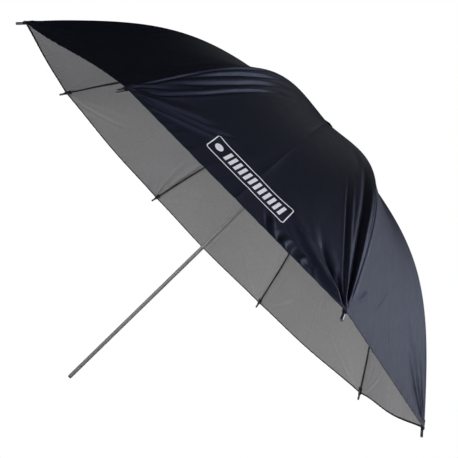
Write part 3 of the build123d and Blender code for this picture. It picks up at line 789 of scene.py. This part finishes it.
def cloth_faces(row_count, col_count, side):
    """Faces of both sheets and the edges, their material slots, and whether each is on a sheet."""
    offset = row_count * col_count
    index = np.arange(offset).reshape(row_count, col_count)
    row_q = LENGTH - 0.5 * (S_ROWS[:-1] + S_ROWS[1:])
    faces, slots, on_sheet = [], [], []

    def add(face, slot, sheet, turn):
        faces.append(face[::-1] if turn < 0 else face)
        slots.append(slot)
        on_sheet.append(sheet)

    for i in range(row_count - 1):
        inner_slot = 2 if row_q[i] < HEM_WIDTH else 1
        for j in range(col_count - 1):
            a, b, c, d = index[i, j], index[i + 1, j], index[i + 1, j + 1], index[i, j + 1]
            add((a, b, c, d), 0, True, side)
            add((a + offset, d + offset, c + offset, b + offset), inner_slot, True, side)
    for edge, turn in ((index[-1], 1), (index[0], -1), (index[:, 0], 1), (index[:, -1], -1)):
        for a, b in zip(edge[:-1], edge[1:]):
            add((a, a + offset, b + offset, b), 2, False, turn * side)
    return faces, slots, on_sheet


def half_gore(gore, rib, azimuth, side):
    """Build one half-gore; returns what on_cloth needs."""
    points, normals, outside, inside, s, v, y = build_half(gore, rib, azimuth, side)
    outer = points + normals * outside[..., None]
    inner = points - normals * inside[..., None]
    faces, slots, on_sheet = cloth_faces(*points.shape[:2], side)
    verts = np.concatenate([outer.reshape(-1, 3), inner.reshape(-1, 3)])
    ob = new_object(f"cloth_gore_{gore}_by_rib_{rib}", verts, faces, (OUTER, INSIDE, HEM), slots)
    uv = np.stack([y.ravel(), s.ravel()], 1)
    add_uv(ob, np.concatenate([uv, uv]))
    cloth_normals(ob, normals.reshape(-1, 3), on_sheet)
    packed = f"gore_{gore}_near_rib_{rib}"
    set_weights(ob)
    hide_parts(packed)
    return points, normals, outside, v


CLOTH_GRID = {}
for k, azimuth in enumerate(AZIMUTHS):
    rib = k + 1
    for side in (1, -1):
        gore = rib if side == 1 else (k - 1) % COUNT + 1
        CLOTH_GRID[(gore, rib)] = half_gore(gore, rib, azimuth, side)


def on_cloth(gore, rib, s, v, lift):
    """A point just outside the finished cloth, by interpolation in its own grid."""
    points, normals, outside, grid_v = CLOTH_GRID[(gore, rib)]
    i = int(np.clip(np.searchsorted(S_ROWS, s) - 1, 0, len(S_ROWS) - 2))
    fi = (s - S_ROWS[i]) / (S_ROWS[i + 1] - S_ROWS[i])
    row_v = grid_v[i] * (1 - fi) + grid_v[i + 1] * fi
    j = int(np.clip(np.searchsorted(row_v, v) - 1, 0, COLUMNS - 2))
    fj = (v - row_v[j]) / (row_v[j + 1] - row_v[j])

    def column(b):
        near, far = (points[a, b] + normals[a, b] * (outside[a, b] + lift) for a in (i, i + 1))
        return near * (1 - fi) + far * fi

    return column(j) * (1 - fj) + column(j + 1) * fj


# ------------------------------------------------------------------ printed band on gore 1
# Its shapes are grids of (x across from the crease, s along from the apex).
BAND_HALF = 0.075         # half its width
BAND_SHIFT = -0.007       # its middle sits a little to one side of the storage crease
BAND_MID = LENGTH - 0.0535
BAND_TOP, BAND_LOW = BAND_MID - 0.0185, BAND_MID + 0.0185
FRAME_LINE, FRAME_CORNER = 0.0017, 0.0044
DOT_X, DOT_RADII = -0.0610, (0.0070, 0.0036, 0.0004)
BAR_COUNT, BAR_PITCH, BAR_WIDTH = 12, 0.0095, 0.0056
BAR_LEAN = 0.0026         # sideways run of a bar over its length
BARS_SHIFT = 0.0095       # middle of the row from the middle of the band
BAR_MARGIN = 0.0082       # from the band's top and low edges
PRINT_LIFT = 0.00012


def band_frame():
    """The rounded frame, as one closed strip: outer line and inner line."""
    corner_x = BAND_HALF - FRAME_CORNER
    top, low = BAND_TOP + FRAME_CORNER, BAND_LOW - FRAME_CORNER
    path = []                # (x, s, outward x, outward s, distance out to the outer line)

    def corner(x, s, start):
        for angle in np.linspace(start, start + 90, 7)[1:-1]:
            a = math.radians(angle)
            path.append((x, s, math.cos(a), math.sin(a), FRAME_CORNER))

    path += [(x, BAND_TOP, 0.0, -1.0, 0.0) for x in np.linspace(-corner_x, corner_x, 81)]
    corner(corner_x, top, -90)
    path += [(BAND_HALF, s, 1.0, 0.0, 0.0) for s in np.linspace(top, low, 11)]
    corner(corner_x, low, 0)
    path += [(x, BAND_LOW, 0.0, 1.0, 0.0) for x in np.linspace(corner_x, -corner_x, 81)]
    corner(-corner_x, low, 90)
    path += [(-BAND_HALF, s, -1.0, 0.0, 0.0) for s in np.linspace(low, top, 11)]
    corner(-corner_x, top, 180)
    path.append(path[0])
    return [[(x + out_x * (out - inset), s + out_s * (out - inset))
             for x, s, out_x, out_s, out in path] for inset in (0.0, FRAME_LINE)]


def band_dot():
    return [[(DOT_X + r * math.cos(a), BAND_MID + r * math.sin(a))
             for a in np.linspace(0, 2 * math.pi, 33)] for r in DOT_RADII]


def band_bar(number):
    x = (number - (BAR_COUNT - 1) / 2) * BAR_PITCH + BARS_SHIFT
    start, end = BAND_TOP + BAR_MARGIN, BAND_LOW - BAR_MARGIN
    return [[(x + BAR_LEAN * (0.5 - f) + BAR_WIDTH * (g - 0.5), start + (end - start) * f)
             for g in np.linspace(0, 1, 6)] for f in np.linspace(0, 1, 9)]


def band_half(rib, sign):
    """The part of the band on one side of the crease."""
    outward = radial(AZIMUTHS[0] + HALF) * 0.5 + np.array([0, 0, 0.86])
    verts, faces, weights = [], [], []
    for grid in [band_frame(), band_dot()] + [band_bar(i) for i in range(BAR_COUNT)]:
        # sign * x, held at 0 past the crease
        held = [[max(sign * (x + BAND_SHIFT), 0.0) for x, _ in row] for row in grid]
        if max(map(max, held)) <= 0:
            continue
        offset, cols = len(verts), len(grid[0])
        for row, held_row in zip(grid, held):
            for (_, s), from_crease in zip(row, held_row):
                v = 1 - from_crease / float(half_width(t_of_s(s)))
                verts.append(on_cloth(1, rib, s, v, PRINT_LIFT))
                weights.append(float(turn_share(v)))
        for i in range(len(grid) - 1):
            for j in range(cols - 1):
                if max(held[i][j], held[i][j + 1], held[i + 1][j], held[i + 1][j + 1]) < 1e-7:
                    continue
                a = offset + i * cols + j
                normal = np.cross(verts[a + cols] - verts[a], verts[a + 1] - verts[a])
                face = (a, a + cols, a + cols + 1, a + 1)
                faces.append(face if normal @ outward > 0 else face[::-1])
    ob = new_object(f"print_band_by_rib_{rib}", verts, faces, (PRINT,))
    add_uv(ob, [(p[0], p[2]) for p in verts])
    set_weights(ob)


band_half(rib=1, sign=-1)
band_half(rib=2, sign=1)

# ------------------------------------------------------------------ corners and ties
TIP_DEPTH = 0.0034        # tip's centre line below the corner
RIB_DEPTH = 0.0028        # rib's centre line below the seam
SLEEVE_START, SLEEVE_LENGTH = -0.0150, 0.0176
SLEEVE_ROWS, SLEEVE_COLS = 16, 28
SLEEVE_SPAN = math.radians(250)
SLEEVE_RISE = 0.0002      # sleeve's axis above the tip's
SLEEVE_CLOTH = 0.00035
TIE_BACK = (0.115, 0.262)       # ties' distances back from the hem
TIE_HALF_HEIGHT, TIE_HALF_WIDTH = 0.00185, 0.00165


def below_seam(azimuth, t, depth):
    """A function that places points about a centre below the seam, by distance along the rib,
    away from the hollow and across."""
    run = curve_dir(t)
    away = np.array([-run[1], run[0]])
    origin = curve(t) - away * depth

    def place(along, up, across):
        r, z = origin + run * along + away * up
        return radial(azimuth) * r + tangential(azimuth) * across + np.array([0, 0, z])

    return place


def rib_cloth(name, rib, verts, faces, mat):
    """An object of the canopy's cloth that rides on its rib."""
    ob = new_object(f"{name}_{rib}", verts, faces, (mat,))
    across = tangential(AZIMUTHS[rib - 1])
    add_uv(ob, [(float(p @ across), float(p[2])) for p in verts])
    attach(ob, f"rib_{rib}")


def sleeve(rib, tip):
    """The cloth's corner drawn round the top of the pin in small gathers."""
    outer, inner = [], []
    for i in range(SLEEVE_ROWS + 1):
        f = i / SLEEVE_ROWS
        along = SLEEVE_START + SLEEVE_LENGTH * f
        centre = tip(along, SLEEVE_RISE, 0.0)
        for j in range(SLEEVE_COLS + 1):
            a = -SLEEVE_SPAN / 2 + SLEEVE_SPAN * (j / SLEEVE_COLS)
            gather = 0.00042 * math.sin(13 * a + 1.3 * rib) * (0.35 + 0.65 * f)
            r = 0.0032 + 0.0013 * (1 - f) ** 1.5 + gather
            if f > 0.86:     # narrows to the groove
                r -= 0.0008 * smoothstep((f - 0.86) / 0.14)
            point = tip(along + 0.0006 * math.sin(5 * a + rib),
                        r * math.cos(a) + SLEEVE_RISE, r * math.sin(a))
            inward = centre - point
            inward /= np.linalg.norm(inward)
            outer.append(point)
            inner.append(point + inward * SLEEVE_CLOTH)
    m, w = len(outer), SLEEVE_COLS + 1
    faces = []
    for i in range(SLEEVE_ROWS):
        for j in range(SLEEVE_COLS):
            a = i * w + j
            faces.append((a, a + w, a + w + 1, a + 1))
            faces.append((a + m, a + 1 + m, a + w + 1 + m, a + w + m))
    for j in range(SLEEVE_COLS):
        b = SLEEVE_ROWS * w + j
        faces.append((j, j + 1, j + 1 + m, j + m))
        faces.append((b, b + m, b + 1 + m, b + 1))
    for i in range(SLEEVE_ROWS):
        a, b = i * w, i * w + SLEEVE_COLS
        faces.append((a, a + m, a + w + m, a + w))
        faces.append((b, b + w, b + w + m, b + m))
    return outer + inner, faces


def corner_thread(tip):
    """Thread wound in the tip's groove, and laces from it up to the corner."""
    parts = []
    for i in range(4):
        along, r = 0.0020 + 0.00028 * i, 0.00215 + 0.0001 * (i % 2)
        ring = [tip(along + 0.00014 * math.sin(a + i), r * math.cos(a), r * math.sin(a))
                for a in np.linspace(0, 2 * math.pi, 25)[:-1]]
        parts.append(tube(ring, 0.00019, closed=True))
    for i in range(3):
        x = -0.0007 + 0.0007 * i
        lace = [tip(0.0022 - 0.0052 * f,
                    0.0023 + 0.0021 * math.sin(math.pi * min(1, 0.2 + 0.7 * f)),
                    x * (1 + 0.6 * f))
                for f in np.linspace(0, 1, 9)]
        parts.append(tube(lace, 0.00018))
    return merge(parts)


def tie_loop(at_rib, number):
    """One turn of thread, a rounded square round the rib."""
    loop = []
    for a in np.linspace(0, 2 * math.pi, 33)[:-1]:
        ca, sa = math.cos(a), math.sin(a)
        square = 1 / (abs(ca) ** 4 + abs(sa) ** 4) ** 0.25
        loop.append(at_rib(0.0004 * (number - 1) + 0.0005 * math.sin(a + number * 2.0),
                           TIE_HALF_HEIGHT * square * ca + 0.0003,
                           TIE_HALF_WIDTH * square * sa))
    return tube(loop, 0.0002, closed=True)


def rib_ties(azimuth, rng):
    """Ties that hold the seam to the rib, each with two loose thread ends below it."""
    parts = []
    for back in TIE_BACK:
        t = float(t_of_s(LENGTH - back - 0.004 * rng.uniform(-1, 1)))
        at_rib = below_seam(azimuth, t, RIB_DEPTH)
        parts += [tie_loop(at_rib, i) for i in range(3)]
        for sign in (-1, 1):
            end = [at_rib(sign * (0.0012 + 0.004 * f), -0.0018 - 0.0016 * math.sin(2.6 * f),
                          sign * 0.0012 * f)
                   for f in np.linspace(0, 1, 8)]
            parts.append(tube(end, 0.00019))
    return merge(parts)


for k, azimuth in enumerate(AZIMUTHS):
    rib = k + 1
    tip = below_seam(azimuth, 1.0, TIP_DEPTH)
    rib_cloth("corner_gather", rib, *sleeve(rib, tip), HEM)
    rib_cloth("corner_thread", rib, *corner_thread(tip), THREAD)
    rib_cloth("rib_ties", rib, *rib_ties(azimuth, np.random.RandomState(40 + k)), THREAD)

# ------------------------------------------------------------------ patch under the cap
# (radius, puff): puffed a little, so that the cloth under it can tip without coming through
PATCH_RINGS = [
    (0.0034, 0.0), (0.0052, 0.0), (0.0070, 0.0006), (0.0090, 0.0016),
    (0.0110, 0.0020), (0.0128, 0.0019), (0.0140, 0.0017), (0.0150, 0.0013),
]
PATCH_SPOKES = 96
PATCH_STITCH_RING = 5
PATCH_LIFT = 0.00075
PATCH_CLOTH = 0.00038


def crown_patch():
    apex = SEAM[0, 1]
    slope = float((apex - SEAM[1, 1]) / SEAM[1, 0])
    last = len(PATCH_RINGS) - 1
    verts, faces = [], []
    for depth in (0.0, PATCH_CLOTH):
        for i, (radius, puff) in enumerate(PATCH_RINGS):
            for j in range(PATCH_SPOKES):
                a = 2 * math.pi * j / PATCH_SPOKES
                r = radius
                if i == last:      # pinked edge
                    r += 0.0007 if (j // 2) % 2 == 0 else -0.0004
                wave = (0.00018 * math.sin(COUNT * (a - AZIMUTHS[0])) * (radius / 0.015)
                        + 0.0001 * math.sin(5 * a + 1))
                stitch = -0.00018 if i == PATCH_STITCH_RING and j % 4 < 3 else 0.0
                z = apex + PATCH_LIFT - slope * r + wave + stitch + puff - depth
                verts.append((r * math.cos(a), r * math.sin(a), z))
    offset = len(PATCH_RINGS) * PATCH_SPOKES
    for i in range(last):
        for j in range(PATCH_SPOKES):
            l = (j + 1) % PATCH_SPOKES
            near, far = i * PATCH_SPOKES, (i + 1) * PATCH_SPOKES
            a, b, c, d = near + j, far + j, far + l, near + l
            faces.append((a, b, c, d))
            faces.append((a + offset, d + offset, c + offset, b + offset))
    rim = last * PATCH_SPOKES
    for j in range(PATCH_SPOKES):
        l = (j + 1) % PATCH_SPOKES
        faces.append((rim + j, rim + j + offset, rim + l + offset, rim + l))
        faces.append((j, l, l + offset, j + offset))
    ob = new_object("crown_patch", verts, faces, (OUTER,))
    # the uv is moved clear of the cloth's stitch row
    add_uv(ob, [(x + 0.1, y + 0.1) for x, y, _ in verts])
    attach(ob, "shaft")
    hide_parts("top_rosette")


crown_patch()


# ------------------------------------------------------------------ camera, floor, world, lights
def add_camera():
    data = bpy.data.cameras.new("camera")
    camera = bpy.data.objects.new("camera", data)
    bpy.context.scene.collection.objects.link(camera)
    bpy.context.scene.camera = camera
    data.sensor_width = 36.0
    data.lens = 52.30853
    data.clip_start, data.clip_end = 0.01, 100.0
    place = Vector((0.04295, -1.37331, 0.27472))
    turn = Matrix((
        (0.700255, -0.713521, 0.02303),
        (-0.068884, -0.099642, -0.992636),
        (0.710562, 0.693512, -0.118925),
    ))
    camera.matrix_world = Matrix.Translation(place) @ turn.to_4x4()


def split_by_camera(tree, out, lit, seen):
    """Show one shader to the camera and the other to every other ray."""
    rays = tree.nodes.new("ShaderNodeLightPath")
    mix = tree.nodes.new("ShaderNodeMixShader")
    tree.links.new(rays.outputs["Is Camera Ray"], mix.inputs[0])
    tree.links.new(lit.outputs[0], mix.inputs[1])
    tree.links.new(seen.outputs[0], mix.inputs[2])
    tree.links.new(mix.outputs[0], out.inputs["Surface"])


def add_floor(z=-0.002, half=14.0):
    """Pale floor that the camera sees as plain white."""
    corners = [(-half, -half, z), (half, -half, z), (half, half, z), (-half, half, z)]
    floor = new_object("floor", corners, [(0, 1, 2, 3)], smooth=False)
    mat = bpy.data.materials.new("floor_pale")
    mat.use_nodes = True
    tree = mat.node_tree
    out = cleared(tree, "ShaderNodeOutputMaterial")
    lit = tree.nodes.new("ShaderNodeBsdfDiffuse")
    lit.inputs["Color"].default_value = (0.80, 0.80, 0.80, 1)
    seen = tree.nodes.new("ShaderNodeEmission")
    seen.inputs["Color"].default_value = (1, 1, 1, 1)
    seen.inputs["Strength"].default_value = 1.0
    split_by_camera(tree, out, lit, seen)
    floor.data.materials.append(mat)


def add_world():
    """White to the camera; as light, a faint glow that is strongest away from +X."""
    world = bpy.data.worlds.new("studio")
    bpy.context.scene.world = world
    world.use_nodes = True
    tree = world.node_tree
    out = cleared(tree, "ShaderNodeOutputWorld")
    seen = tree.nodes.new("ShaderNodeBackground")
    seen.inputs["Color"].default_value = (1, 1, 1, 1)
    seen.inputs["Strength"].default_value = 1.0
    lit = tree.nodes.new("ShaderNodeBackground")
    lit.inputs["Color"].default_value = (0.93, 0.96, 1.0, 1)
    coords = tree.nodes.new("ShaderNodeTexCoord")
    facing = tree.nodes.new("ShaderNodeVectorMath")
    facing.operation = "DOT_PRODUCT"
    facing.inputs[1].default_value = (0.97, -0.12, -0.20)
    tree.links.new(coords.outputs["Generated"], facing.inputs[0])
    falloff = tree.nodes.new("ShaderNodeMapRange")
    falloff.interpolation_type = "SMOOTHSTEP"
    from_min, from_max, to_min, to_max = (falloff.inputs[i] for i in range(1, 5))
    from_min.default_value = -0.40
    from_max.default_value = 1.0
    to_min.default_value = 0.0
    to_max.default_value = 0.02
    tree.links.new(facing.outputs["Value"], falloff.inputs[0])
    tree.links.new(falloff.outputs[0], lit.inputs["Strength"])
    split_by_camera(tree, out, lit, seen)


# square lights, all aimed at one point: (name, place, side, watts, colour)
LIGHT_AIM = Vector((0.0, 0.0, 0.55))
LIGHTS = [
    ("softbox_top_right", (1.461, -0.178, 2.317), 1.1, 29.0, (0.84, 0.885, 1.0)),
    ("softbox_right", (2.075, -0.070, 1.540), 1.1, 2.8, (0.84, 0.89, 1.0)),
    ("softbox_front_right", (1.684, -1.503, 0.992), 1.1, 4.0, (0.82, 0.87, 1.0)),
    ("softbox_back_right", (1.784, 1.291, 1.213), 1.1, 4.2, (0.80, 0.86, 1.0)),
    ("softbox_back_high", (1.289, 1.180, 2.046), 1.1, 2.2, (0.80, 0.86, 1.0)),
    ("softbox_back_left", (-0.535, 1.082, 2.508), 1.1, 1.6, (1, 1, 1)),
    ("softbox_front_high", (0.018, -1.677, 2.123), 1.1, 10.4, (0.86, 0.88, 1.0)),
    ("softbox_low_left", (-1.102, -0.961, 0.12), 0.6, 10.3, (1.0, 0.99, 0.975)),
    ("softbox_low_front", (0.60, -1.30, 0.15), 0.6, 3.3, (1.0, 0.995, 0.99)),
]


def add_light(name, place, size, watts, color):
    data = bpy.data.lights.new(name, "AREA")
    data.shape = "RECTANGLE"
    data.size = data.size_y = size
    data.energy = watts
    data.color = color
    light = bpy.data.objects.new(name, data)
    bpy.context.scene.collection.objects.link(light)
    light.location = place
    light.rotation_euler = (LIGHT_AIM - Vector(place)).to_track_quat("-Z", "Y").to_euler()


add_camera()
add_floor()
add_world()
for light in LIGHTS:
    add_light(*light)

view = bpy.context.scene.view_settings
view.view_transform = "Standard"
view.look = "None"
view.exposure = 0.0
view.gamma = 1.0
